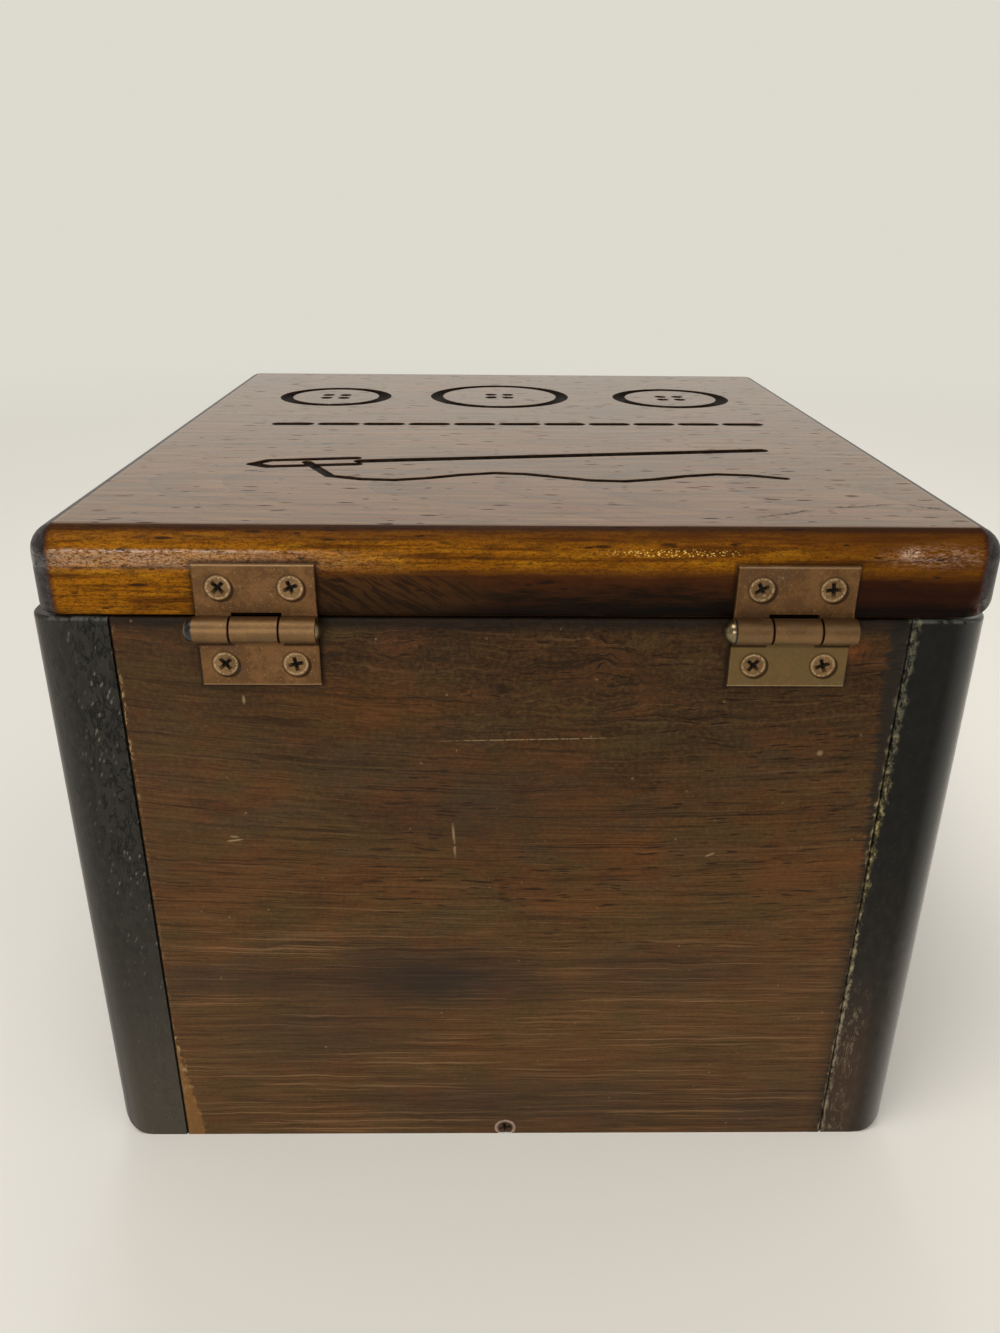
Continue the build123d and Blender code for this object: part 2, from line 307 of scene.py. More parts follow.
world = bpy.data.worlds.new("studio")
bpy.context.scene.world = world
room = Finish(world)
toward = room.parts(room.node("ShaderNodeTexCoord", out="Generated"))
pale_side = toward[1].fall(0.2, 0.65) * toward[2].fall(0.4, 0.75)
reflected = room.mix(pale_side, DIM_TONE, MIRRORED_TONE)
ray_kinds = ("Is Camera Ray", "Is Glossy Ray", "Is Transmission Ray")
camera_ray, glossy_ray, through_ray = [room.node("ShaderNodeLightPath", out=kind) for kind in ray_kinds]
plain = camera_ray.most(glossy_ray).most(through_ray)
room_tone = room.mix(plain, SKY_TONE, room.mix(camera_ray, reflected, SKY_TONE))
strength = FILL_STRENGTH + plain * (1.0 - FILL_STRENGTH)
background = room.node("ShaderNodeBackground", None, {"Color": room_tone, "Strength": strength})
room.node("ShaderNodeOutputWorld", None, {"Surface": background})


def soft_lamp(name, place, size, power, tone):
    """A soft lamp that points at the chest: its place, width and height, watts and colour."""
    direction = CHEST_MIDDLE - Vector(place)
    turn = direction.to_track_quat("-Z", "Y").to_euler()
    bpy.ops.object.light_add(type="AREA", location=place, rotation=turn)
    lamp = bpy.context.object
    lamp.name = name
    lamp.data.shape = "RECTANGLE"
    lamp.data.size, lamp.data.size_y = size
    lamp.data.energy = power
    lamp.data.color = tone


soft_lamp("key_lamp", (0.40, 0.42, 1.15), (0.5, 0.5), 4.5, (1.0, 0.97, 0.92))
soft_lamp("window_lamp", (0.50, 1.50, 0.50), (0.5, 0.3), 7.0, (1.0, 0.97, 0.93))
soft_lamp("rear_lamp", (-0.5, 0.9, 0.95), (0.6, 0.6), 1.5, (1.0, 0.98, 0.95))
soft_lamp("front_lamp", (0.1, -0.85, 1.3), (0.8, 0.8), 5.0, (1.0, 1.0, 1.0))

# %% [markdown]
# Wood is a bundle of long fibres in yearly rings, with open pores that show as short
# dark dashes. All three are solid patterns: they run through the board, so faces that
# meet at an edge agree. Each helper takes a point as (along the grain, across, across).

# %% Wood patterns


def ring_distance(finish, grain, pith, slope, wander):
    """Distance from the tree's centre line, with the slow bends of a real trunk."""
    along, across, deep = finish.parts(grain)
    bend = finish.cloud(grain, (0.012, 0.03, 0.03), 2.0) - 0.5
    first = across - pith[0] + along * slope[0] + bend * wander
    second = deep - pith[1] + along * slope[1]
    return (first * first + second * second).root()


def ring_lines(finish, distance, spacing, seed):
    """Dark late wood, 1 on each ring's outer line and fading towards the next."""
    jitter = finish.noise(finish.vector(distance * 0.11, seed, 0.0), 2.0) - 0.5
    phase = (distance / spacing + jitter * 2.4).fraction()
    return phase ** 3.0


def fibres(finish, grain, width, length):
    """Fine streaks along the grain, from 0 to 1."""
    scaled = finish.stretch(grain, (1.0 / length, 1.0 / width, 1.0 / width))
    return finish.noise(scaled, 3.0, 0.6)


def pores(finish, grain, length, width, share, size, reach=1.0):
    """Short dashes along the grain: 1 inside an open pore, which may reach deep into the board."""
    wave = (finish.cloud(grain, (0.05, 0.12, 0.12), 1.0) - 0.5) * 2.5
    along, across, deep = finish.parts(grain)
    cell = finish.vector(along / length, (across + wave) / width, (deep + wave) / (width * reach))
    near = finish.cells(cell)
    pick = finish.parts(finish.cells(cell, "Color"))[0]
    return near.fall(size * 0.45, size) * pick.fall(share - 0.02, share + 0.02)


def spot(u, v, middle, reach, edge):
    """A soft oval mark at a place, 1 in its middle."""
    a = (u - middle[0]) / reach[0]
    b = (v - middle[1]) / reach[1]
    return (a * a + b * b).root().fall(1.0 - edge, 1.0 + edge)


def stroke(u, v, start, end, width):
    """A thin line between two points, 1 on the line."""
    du, dv = end[0] - start[0], end[1] - start[1]
    length = math.hypot(du, dv)
    du, dv = du / length, dv / length
    ahead = (u - start[0]) * du + (v - start[1]) * dv
    aside = ((u - start[0]) * dv - (v - start[1]) * du).abs()
    middle = (ahead / length).rise(-0.02, 0.3) * (ahead / length).fall(0.7, 1.02)
    return aside.fall(width * 0.3, width) * middle


print("wood helpers ready")

# %% [markdown]
# The back and front panels are one stained board each, with the grain running
# sideways. The stain is a warm brown that darkens towards the top, with straight pale
# lines low down and dark curls above. Handling has left scratches, dark blotches and
# worn corners, which are placed where they are on the real panel. A painted sheen
# lightens the upper left, and painted shade lies under the lid, round the hinge leaves
# and beside the right joint.

# %% The panels


def panel_grain(finish, x, y, z):
    """The panel's bare stained wood: its colour, and the height of its grain."""
    place = finish.vector(x, y, z)
    aside = x + 18.0
    sag = aside * aside * 0.0006 * z.rise(40.0, 120.0)
    swirl = finish.cloud(place, (0.045, 0.045, 0.1), 3.0, 0.6, 0.6) - 0.5
    curly = spot(x, z, (-8.0, 138.0), (52.0, 17.0), 0.7)
    grain = finish.vector(x, z - sag + swirl * (2.0 + 9.0 * curly), y)
    low = z.fall(35.0, 100.0)
    hair = fibres(finish, grain, 0.28, 9.0)
    fine = fibres(finish, grain, 0.55, 30.0)
    broad = fibres(finish, grain, 2.2, 70.0)
    soft = finish.cloud(place, (0.035, 0.035, 0.05), 3.0, 0.65)
    patches = finish.cloud(place, (0.05, 0.05, 0.09), 3.0, 0.65, step=(7.0, 3.0, 1.0))
    greys = finish.cloud(place, (0.04, 0.04, 0.08), 3.0, 0.6, step=(2.0, 9.0, 5.0))
    mottle = finish.cloud(place, (0.9, 0.9, 0.9), 4.0, 0.75)

    colour = finish.mix(soft.rise(0.38, 0.6), paint(68, 49, 24), paint(84, 51, 22))
    uneven = x + (soft - 0.5) * 60.0
    olive = spot(uneven, z, (-32.0, 121.0), (24.0, 11.0), 0.8) * 0.45
    ruddy = spot(uneven, z, (-60.0, 92.0), (26.0, 18.0), 0.8) * 0.22
    tawny = spot(uneven, z, (30.0, 128.0), (16.0, 6.0), 0.9) * 0.4
    hues = finish.cloud(place, (0.07, 0.07, 0.13), 2.0, 0.7, step=(5.0, 1.0, 8.0))
    colour = finish.stain(
        colour,
        (patches.rise(0.5, 0.66) * 0.65, 56, 30, 10),
        (greys.rise(0.5, 0.66) * 0.55, 60, 50, 34),
        (low * 0.55, 92, 66, 41),
        # Painted sheen: the upper left of the panel is made lighter and greyer where it shines.
        (x.rise(-10.0, 90.0) * z.rise(60.0, 130.0) * 0.35, 86, 65, 45),
        (z.rise(100.0, 140.0) * (0.75 - 0.2 * x.rise(40.0, 80.0)), 38, 21, 5),
        (z.rise(76.0, 110.0) * x.fall(-50.0, 20.0) * 0.25, 38, 21, 5),
        (olive, 40, 33, 18),
        (ruddy, 94, 55, 24),
        (tawny, 98, 60, 20),
        (hues.rise(0.52, 0.64) * 0.3, 64, 56, 26),
        (hues.fall(0.36, 0.46) * 0.3, 90, 50, 26),
        (mottle.rise(0.4, 0.66) * 0.3, 104, 77, 42),
        (hair.fall(0.34, 0.5) * 0.45, 38, 25, 10),
        (fine.fall(0.36, 0.5) * 0.4, 42, 28, 12),
    )

    pale = fine.rise(0.54, 0.66) * broad.rise(0.42, 0.6)
    crisp = finish.cloud(grain, (0.012, 1.1, 1.1), 3.0, 0.6).rise(0.6, 0.65)
    lines = broad.fall(0.36, 0.46) * fine.fall(0.45, 0.6)
    colour = finish.stain(
        colour,
        (pale * (0.12 + 0.42 * low), 128, 94, 60),
        (crisp * (0.1 + 0.5 * low), 136, 103, 70),
        (lines * (0.55 - 0.27 * low), 32, 20, 9),
    )

    bands = finish.cloud(grain, (0.014, 0.06, 0.06), 2.0).rise(0.38, 0.56)
    bands = bands.most(z.rise(84.0, 110.0) * x.fall(-44.0, -20.0) * 0.95) * z.rise(46.0, 74.0)
    dashes = pores(finish, grain, 13.0, 1.0, 0.6, 0.29, 9.0)
    short = pores(finish, finish.shift(grain, (7.0, 31.0, 0.0)), 7.0, 0.8, 0.6, 0.27, 9.0)
    dashes = dashes.most(short) * bands.most(0.06) * (1.0 - 0.55 * x.rise(16.0, 52.0))
    curls = finish.cloud(place, (0.3, 0.3, 0.6), 4.0, 0.7, 1.4)
    curls = curls.fall(0.36, 0.44) * curly
    colour = finish.stain(
        colour,
        (dashes * 0.78, 30, 17, 8),
        (curls * 0.5, 22, 14, 7),
    )
    height = hair * 0.5 + mottle * 0.5 - dashes * 1.3 - lines * 0.4
    return colour, height


def panel_stains_and_shade(finish, x, z, colour, chips):
    """The dark blotches on the back, the stain that runs in from its edges, and painted shade beside the
    right joint, round the hinge leaves and under the lid.
    """
    place = finish.vector(x, 0.0, z)
    wobble = (finish.cloud(place, (0.05, 0.05, 0.12), 4.0, 0.6) - 0.5) * 22.0
    flat = z + wobble * 0.3
    blotch = spot(x + wobble, flat, (20.0, 52.5), (25.0, 7.5), 0.95)
    for middle, reach, depth in (
        ((62.0, 52.0), (26.0, 5.0), 0.55),
        ((45.0, 36.0), (24.0, 9.0), 0.4),
        ((-8.0, 11.0), (38.0, 9.0), 0.5),
        ((-40.0, 54.0), (26.0, 6.0), 0.45),
        ((8.0, 103.0), (24.0, 12.0), 0.4),
        ((-70.0, 8.0), (16.0, 8.0), 0.55),
    ):
        blotch = blotch.most(spot(x + wobble, flat, middle, reach, 0.9) * depth)
    colour = finish.mix(blotch * 0.78, colour, paint(34, 30, 28))

    ragged = finish.noise(finish.vector(x * 0.14, 2.0, z * 1.3), 3.0, 0.7) - 0.5
    stain_edge = -JOINT + 1.0 + z.rise(70.0, 146.0) * 3.4 + (chips - 0.5) * 1.6 + ragged * 7.0
    stain = (x - stain_edge).fall(-0.8, 1.0)
    shade = (x + JOINT + ragged * 5.0).fall(0.5, 6.0) * z.fall(60.0, 100.0)
    colour = finish.stain(
        colour,
        (stain * 0.85, 30, 28, 25),
        (shade * 0.45, 34, 30, 26),
        # Painted shade: the panel is darkened beside the edges of the hinge leaves.
        (shade_round_leaves(x, z) * 0.6, 18, 12, 8),
    )
    # Painted shadow: the panel's top is darkened where the lid shades it.
    shadow_under_lid = (z + wobble * 0.12).rise(panel_high[2] - 4.0, panel_high[2] - 0.8)
    return finish.mix(shadow_under_lid * 0.8, colour, paint(20, 16, 13))


def panel_wear(finish, x, z, chips):
    """Worn edges and scratches on the back: masks of the bare wood and of the pale marks."""
    edge = x.rise(JOINT - 1.7, JOINT - 0.7) * chips.rise(0.47, 0.56)
    upper = z.rise(102.0, 108.0) * z.fall(130.0, 142.0)
    worn = edge * upper.most(0.25)
    width = z.fall(-6.0, 44.0) * 5.4 + 0.2
    torn = x + (chips - 0.5) * 6.0
    worn = worn.most((torn - JOINT + width).rise(-0.3, 0.5) * z.fall(36.0, 48.0) * 0.9)
    marks = stroke(x, z, (18.5, 119.4), (-26.0, 120.4), 0.2) * chips.rise(0.4, 0.5) * 0.55
    marks = marks.most(stroke(x, z, (13.2, 98.6), (12.6, 88.0), 0.4) * chips.rise(0.35, 0.5) * 0.55)
    for start, end, thickness, strength in (
        ((66.0, 93.0), (61.6, 93.6), 0.3, 0.7),
        ((65.0, 94.4), (62.6, 94.2), 0.25, 0.6),
        ((-46.0, 88.8), (-48.6, 90.0), 0.35, 0.5),
    ):
        marks = marks.most(stroke(x, z, start, end, thickness) * strength)
    marks = marks.most(spot(x, z, (-69.6, 116.6), (0.6, 0.6), 0.6) * 0.45)
    marks = marks.most(spot(x, z, (58.4, 129.6), (0.3, 0.9), 0.6) * 0.55)
    flecks = finish.cells(finish.vector(x * 0.2, 0.0, z * 0.2)).fall(0.04, 0.08)
    return worn, marks.most(flecks * chips.rise(0.45, 0.55) * 0.3)


def from_hinge(x):
    """Distance sideways to the middle of the nearer hinge."""
    right_side = x.rise(-0.01, 0.01)
    middle = hinge_middles["left"] + right_side * (hinge_middles["right"] - hinge_middles["left"])
    return (x - middle).abs()


def shade_round_leaves(x, z):
    """Painted shade round the hinge leaves, 1 beside their edges."""
    beside = from_hinge(x) - leaf_half_width
    beyond = (z - (leaf_top + leaf_foot) / 2).abs() - (leaf_top - leaf_foot) / 2
    return beside.most(beyond).fall(0.2, 1.3)


def joint_wear(finish, x, z):
    """The wandering line at the right of the photo where the stain has come off the joint."""
    wander = (finish.noise(finish.vector(z * 0.05, 3.0, 0.0), 4.0, 0.6) - 0.5) * 2.6
    line_place = -JOINT - 0.1 + wander * z.rise(10.0, 60.0) - z.rise(100.0, 146.0) * 0.5
    swell = finish.noise(finish.vector(z * 0.22, 8.0, 0.0), 3.0, 0.6).rise(0.3, 0.7)
    width = (0.75 + 0.5 * z.rise(70.0, 110.0)) * (0.4 + 1.3 * swell)
    away = (x - line_place).abs() / width
    breaks = finish.noise(finish.vector(x * 0.8, 0.0, z * 0.4), 5.0, 0.75)
    mask = away.fall(0.4, 1.2) * breaks.rise(0.42, 0.5)
    tone = finish.mix(breaks.rise(0.5, 0.62), paint(74, 66, 42), paint(156, 142, 104))
    tone = finish.stain(
        tone,
        (z.fall(30.0, 84.0) * 0.6, 142, 130, 112),
        (z.rise(96.0, 132.0) * 0.7, 64, 66, 60),
    )
    return mask, tone


def panel_wood():
    finish = new_finish("panel_wood")
    place = finish.place()
    x, y, z = finish.parts(place)
    back_face = y.rise(0.0, 1.0)
    colour, height = panel_grain(finish, x, y, z)
    chips = finish.cloud(place, (0.8, 0.8, 0.45), 4.0, 0.75)
    colour = finish.mix(back_face, colour, panel_stains_and_shade(finish, x, z, colour, chips))
    worn, marks = [mask * back_face for mask in panel_wear(finish, x, z, chips)]
    bare = finish.mix(chips.rise(0.5, 0.62), paint(116, 82, 44), paint(158, 132, 94))
    bare = finish.mix(z.fall(10.0, 30.0) * 0.8, bare, paint(118, 82, 42))
    colour = finish.mix(worn * 0.9, colour, bare)
    crack = x.rise(JOINT - 0.75, JOINT - 0.5) * back_face
    colour = finish.mix(crack * 0.9, colour, paint(10, 8, 6))
    rubbed, rubbed_tone = joint_wear(finish, x, z)
    colour = finish.mix(rubbed * back_face * 0.9, colour, rubbed_tone)
    seam = x.fall(0.2 - JOINT, 0.5 - JOINT) * back_face
    rust = spot(x, z, (-72.6, 141.6), (3.6, 2.2), 0.9) * chips.rise(0.35, 0.55) * back_face
    inside = y.abs().fall(inner_face - 0.4, inner_face + 0.2)
    colour = finish.stain(
        colour,
        (seam * 0.85, 14, 11, 8),
        (marks, 158, 134, 100),
        (rust * 0.6, 120, 68, 30),
        (inside * 0.55, 140, 98, 58),
    )
    rough = 0.4 + 0.25 * chips + inside * 0.2
    normal = finish.bump(height - worn * 1.2 - marks * 0.5, 0.12)
    values = {"Base Color": colour, "Roughness": rough, "Normal": normal, "Specular IOR Level": 0.1}
    return finish.surface(values)


panel_material = panel_wood()
print("panel wood:", len(panel_material.node_tree.nodes), "nodes")

# %% [markdown]
# The side boards show their end grain on the back and the front: nearly black, because
# the cut ends drink the most stain, with pale pores in slanting rows. Their broad faces
# have the grain running from front to back. The right-hand joint has lost its stain
# along a wandering line.

# %% The side boards


def side_board_wood():
    finish = new_finish("side_board_wood")
    place = finish.place()
    x, y, z = finish.parts(place)
    grain = finish.vector(y, z + y * 0.02, x)
    end_face = y.abs().rise(BACK - 1.6, BACK - 0.6)
    rings = ring_distance(finish, grain, (70.0, 30.0), (0.03, 0.05), 14.0)
    lines = ring_lines(finish, rings, 2.8, 8.1)
    fine = fibres(finish, grain, 0.35, 24.0)
    broad = fibres(finish, grain, 2.4, 60.0)
    clouds = finish.cloud(place, (0.02, 0.02, 0.02), 3.0, 0.6)

    long_wood = finish.mix(broad.rise(0.3, 0.7), paint(50, 34, 18), paint(70, 47, 25))
    dashes = pores(finish, grain, 11.0, 1.1, 0.65, 0.25)
    near_end = y.abs().rise(BACK - 20.0, BACK - 8.0)
    long_wood = finish.stain(
        long_wood,
        (lines * 0.5, 28, 18, 10),
        (clouds.rise(0.4, 0.75) * 0.5, 36, 27, 17),
        (fine.rise(0.55, 0.75) * 0.3, 98, 70, 42),
        (dashes * 0.75, 16, 11, 6),
        (near_end * 0.8, 26, 22, 18),
    )

    behind = y.rise(0.0, 1.0)
    left_strip = x.rise(-5.0, 5.0)
    tilted = x * 0.9 + z * 0.3
    rows = finish.vector(tilted * 1.1, (z * 0.9 - x * 0.35) * 0.42, y * 0.1)
    near = finish.cells(rows)
    pick = finish.parts(finish.cells(rows, "Color"))[0]
    clusters = finish.cloud(place, (0.12, 0.1, 0.08), 2.0).rise(0.34, 0.5)
    inner_half = x.abs().fall(JOINT + 5.0, JOINT + 13.0)
    specks = near.fall(0.14, 0.32) * pick.rise(0.35, 0.7) * clusters * inner_half
    specks = specks * z.rise(20.0, 90.0).most(0.35)
    creases = finish.noise(finish.vector(x * 0.42, y * 0.1, z * 0.17), 3.0, 0.6, 1.0)
    gaps = finish.cloud(place, (0.5, 0.1, 0.3), 2.0, step=(4.0, 0.0, 9.0))
    cracks = (creases - 0.5).abs().fall(0.01, 0.05) * gaps.rise(0.36, 0.5)
    cracks = cracks * z.rise(55.0, 100.0).most(0.25) * left_strip * inner_half.most(0.35)
    mottle = finish.cloud(place, (0.5, 0.5, 0.25), 4.0, 0.65)
    end_wood = finish.mix(mottle.rise(0.35, 0.7), paint(27, 25, 22), paint(44, 41, 36))
    end_wood = finish.stain(
        end_wood,
        (z.fall(5.0, 110.0) * 0.4, 60, 54, 45),
        (left_strip * 0.3, 60, 59, 55),
        (left_strip * z.fall(0.0, 70.0) * 0.3, 96, 88, 76),
        (cracks * 0.75, 13, 12, 12),
        (specks * (0.1 + 0.5 * left_strip), 112, 109, 100),
        ((1.0 - left_strip) * z.rise(15.0, 110.0) * 0.75, 17, 17, 15),
    )
    colour = finish.mix(end_face, long_wood, end_wood)

    worn_line, worn_tone = joint_wear(finish, x, z)
    worn_line = worn_line * behind
    colour = finish.mix(worn_line * 0.9, colour, worn_tone)
    threads = finish.noise(finish.vector(x * 0.6, 5.0, z * 0.12), 3.0, 0.7, 1.0)
    threads = (threads - 0.5).abs().fall(0.006, 0.03) * x.fall(-JOINT - 0.5, -JOINT)
    threads = threads * x.rise(-JOINT - 8.0, -JOINT - 4.0) * z.fall(34.0, 56.0) * behind
    # Painted highlight: a pale broken line along the top edge of the end grain.
    lip_highlight = z.rise(BODY_TOP - 0.9, BODY_TOP - 0.4) * mottle.rise(0.4, 0.55) * end_face
    low_red = spot(x, z, (-89.5, 14.0), (4.0, 26.0), 0.8) * behind
    colour = finish.stain(
        colour,
        (threads * mottle.rise(0.42, 0.56) * 0.75, 132, 120, 98),
        (lip_highlight * 0.4, 100, 102, 96),
        (low_red * 0.5, 72, 48, 34),
    )

    inside = x.abs().fall(JOINT - 0.2, JOINT + 0.3)
    colour = finish.mix(inside * (1.0 - end_face) * 0.7, colour, paint(130, 90, 54))

    rough = 0.24 + 0.16 * mottle + dashes * 0.2 + inside * 0.3
    height = fine * 0.2 - dashes * 0.8 + end_face * (mottle * 0.7 + specks * 0.5 - cracks * 1.8) - worn_line
    normal = finish.bump(height, 0.07)
    outer_corner = (x.abs() - JOINT).rise(9.0, 14.0) * y.abs().rise(BACK - 9.0, BACK - 5.0)
    values = {
        "Base Color": colour,
        "Roughness": rough,
        "Normal": normal,
        "Coat Weight": outer_corner * (1.0 - left_strip * 0.7),
        "Coat Roughness": 0.22,
        "Specular IOR Level": 0.09,
    }
    return finish.surface(values)


side_material = side_board_wood()
print("side board wood:", len(side_material.node_tree.nodes), "nodes")

# %% [markdown]
# The lid is one board under thick varnish. On top the varnish mirrors the pale room,
# broken by short open pores. Its back edge glows amber where light enters the varnish
# and darkens towards the lower edge. The varnish is the coat layer, which is thin or
# missing in the pores, and the carved grooves were burnt dark.

# %% The lid's finish
CARVED_X = (-90.0, 84.0)
CARVED_Y = (-98.0, 76.0)


def lid_wood():
    finish = new_finish("lid_wood")
    place = finish.place()
    x, y, z = finish.parts(place)
    grain = finish.vector(x, y, z)
    rings = ring_distance(finish, grain, (70.0, LID_TOP - 60.0), (0.04, 0.12), 20.0)
    lines = ring_lines(finish, rings, 3.2, 5.3)
    fine = fibres(finish, grain, 0.4, 22.0)
    broad = fibres(finish, grain, 2.4, 45.0)
    clouds = finish.cloud(place, (0.02, 0.03, 0.03), 3.0, 0.6)
    mottle = finish.cloud(place, (0.6, 0.6, 0.6), 4.0, 0.65)

    top_wood = finish.mix(broad.rise(0.3, 0.7), paint(92, 60, 24), paint(128, 88, 44))
    reds = finish.cloud(place, (0.03, 0.25, 0.2), 3.0, 0.6)
    top_wood = finish.stain(
        top_wood,
        (lines * 0.45, 60, 36, 16),
        (clouds.rise(0.4, 0.7) * 0.4, 84, 64, 42),
        (reds.rise(0.56, 0.68) * 0.35, 130, 62, 36),
    )

    behind = y.rise(0.0, 1.0)
    left_end = x.rise(48.0, 72.0)
    right_end = x.fall(-72.0, -50.0)
    glow = finish.cloud(place, (0.05, 0.5, 0.42), 5.0, 0.7)
    flame = finish.cloud(place, (0.7, 2.0, 2.2), 4.0, 0.75, 0.5)
    crackle = finish.cloud(place, (1.6, 2.6, 2.6), 3.0, 0.7, 1.2)
    flow = finish.cloud(place, (0.035, 0.8, 0.75), 5.0, 0.62)
    blots = finish.cloud(place, (0.22, 0.7, 0.8), 4.0, 0.7, 0.4)
    amber = finish.mix(flow.rise(0.36, 0.56), paint(92, 50, 3), paint(146, 90, 8))
    upper = z.rise(LID_TOP - 3.6, LID_TOP - 1.6) * (1.0 - left_end * 0.6)
    amber = finish.stain(
        amber,
        (glow.rise(0.5, 0.66) * 0.5, 182, 126, 22),
        (glow.fall(0.34, 0.48) * 0.5, 58, 29, 4),
        (blots.fall(0.36, 0.52) * 0.5, 56, 34, 6),
        (flame.fall(0.36, 0.5) * 0.6, 44, 24, 4),
        (crackle.fall(0.38, 0.47) * 0.6, 34, 18, 4),
        (upper * 0.6, 66, 32, 8),
        (right_end * 0.5, 62, 30, 6),
        (x.fall(-30.0, 50.0) * 0.3, 80, 44, 8),
    )
    dark = finish.mix(glow.rise(0.4, 0.6), paint(20, 12, 5), paint(44, 24, 9))
    reddish = (z - LID_UNDER + (blots - 0.5) * 8.0).rise(4.5, 9.5)
    across_grain = finish.vector((x - z * 1.5) * 0.55, y * 0.3, (z + x * 0.3) * 0.14)
    feathers = finish.noise(across_grain, 3.0, 0.6, 0.8)
    figure = spot(x, z, (29.0, 154.0), (22.0, 5.5), 0.5)
    dark = finish.stain(
        dark,
        (reddish * 0.5, 76, 38, 12),
        (right_end * 0.7, 38, 14, 4),
        (figure * 0.5, 68, 44, 20),
        (figure * feathers.fall(0.42, 0.52) * 0.7, 24, 14, 7),
    )
    border = LID_UNDER + 10.2 + (flow - 0.5) * 5.0 - right_end * 1.0
    lower = (z - border).fall(-1.6, 1.6) * (1.0 - left_end)
    lowest = (z - LID_UNDER + (glow - 0.5) * 3.0).fall(1.5, 5.0) * (1.0 - left_end)
    lowest = lowest * (1.0 - figure * 0.6)
    edge_wood = finish.mix(lower, amber, dark)
    rim = z.rise(LID_TOP - 1.3, LID_TOP - 0.4)
    # Painted highlight: a pale, speckled band on the back edge where the varnish shines.
    band = z + x * -0.006 + (glow - 0.5) * 1.2
    pale_light = band.rise(158.6, 160.2) * band.fall(162.2, 163.4) * x.rise(16.0, 80.0) * behind
    pale_light = pale_light * (flame * 0.4 + crackle * 0.6).rise(0.42, 0.58)
    # Painted glints: a row of small golden specks, and pale spots near the right end.
    glints = finish.cells(finish.stretch(place, (1.5, 1.6, 2.6))).fall(0.18, 0.42)
    glint_row = glints * spot(x, z, (-33.0, 163.2), (13.0, 0.7), 0.6) * behind
    end_glints = spot(x, z, (-82.4, 163.2), (2.0, 1.1), 0.8) * crackle.rise(0.46, 0.6)
    end_glints = end_glints.most(spot(x, z, (-88.0, 162.6), (9.0, 1.8), 0.9) * flame.rise(0.44, 0.62) * 0.34)
    edge_wood = finish.stain(
        edge_wood,
        (lowest * 0.85, 8, 5, 4),
        (rim * 0.75, 32, 15, 5),
        (pale_light * 0.42, 196, 168, 142),
        (glint_row * 0.85, 236, 196, 104),
        (end_glints * behind * 0.75, 214, 186, 168),
    )
    edge = z.fall(LID_TOP - 0.14, LID_TOP - 0.03)
    colour = finish.mix(edge, top_wood, edge_wood)

    ends = (x - (lid_low[0] + lid_high[0]) / 2).abs()
    half = (lid_high[0] - lid_low[0]) / 2
    inward = half - ends + (crackle - 0.5) * 1.2
    end_face = inward.fall(4.6, 5.4) * edge
    end_wood = finish.mix(mottle.rise(0.4, 0.65), paint(30, 25, 25), paint(58, 50, 50))
    end_wood = finish.mix(crackle.rise(0.56, 0.66) * 0.4, end_wood, paint(110, 100, 96))
    border_red = inward.rise(4.2, 5.0) * inward.fall(5.2, 6.2) * edge
    colour = finish.mix(end_face, colour, end_wood)
    # Painted reflection: the lower corner at the right end is made pale where it mirrors the floor.
    lower_corner_sheen = x.fall(-102.0, -96.0) * z.fall(LID_UNDER + 2.0, LID_UNDER + 6.0) * behind
    colour = finish.stain(
        colour,
        (border_red * 0.6, 52, 22, 12),
        (lower_corner_sheen * mottle.rise(0.38, 0.6) * 0.6, 136, 126, 116),
    )

    dashes = pores(finish, grain, 12.0, 2.3, 0.6, 0.22)
    dashes = dashes.most(pores(finish, finish.shift(grain, (5.0, 17.0, 2.0)), 6.0, 1.6, 0.35, 0.2))
    hairs = finish.cloud(place, (0.12, 1.1, 1.1), 4.0, 0.75)
    hairs = hairs.fall(0.28, 0.36) * (1.0 - edge * 0.5)
    dashes = dashes.most(hairs * 0.7)
    arc_points = ((-50.8, 99.4), (-68.4, 91.0), (-88.0, 86.3), (-98.8, 92.9))
    for start, end in zip(arc_points, arc_points[1:]):
        arc = stroke(x, y + (mottle - 0.5) * 4.0, start, end, 0.7) * (1.0 - edge)
        dashes = dashes.most(arc * crackle.rise(0.44, 0.52))
    colour = finish.mix(dashes * 0.8, colour, paint(26, 16, 9))

    in_design = x.rise(CARVED_X[0], CARVED_X[0] + 1.0) * x.fall(CARVED_X[1] - 1.0, CARVED_X[1])
    in_design = in_design * y.rise(CARVED_Y[0], CARVED_Y[0] + 1.0) * y.fall(CARVED_Y[1] - 1.0, CARVED_Y[1])
    burnt = z.fall(LID_TOP - 0.25, LID_TOP - 0.03) * z.rise(LID_TOP - 3.0, LID_TOP - 2.5) * in_design
    char = finish.mix(mottle.rise(0.4, 0.65), paint(15, 10, 7), paint(36, 25, 16))
    colour = finish.mix(burnt, colour, char)

    # Painted shade: the lid's back edge is darkened beside the edges of the hinge leaf.
    lid_leaf_shade = shade_round_leaves(x, z) * edge * behind
    colour = finish.mix(lid_leaf_shade * 0.6, colour, paint(22, 12, 6))

    under = z.fall(LID_UNDER + 0.1, LID_UNDER + 0.5)
    under_wood = finish.mix(broad.rise(0.3, 0.7), paint(70, 44, 24), paint(98, 66, 38))
    under_wood = finish.stain(
        under_wood,
        (lines * 0.5, 46, 28, 16),
        (fine.rise(0.52, 0.72) * 0.35, 118, 84, 52),
        (dashes * 0.8, 26, 16, 9),
    )
    colour = finish.mix(under, colour, under_wood)

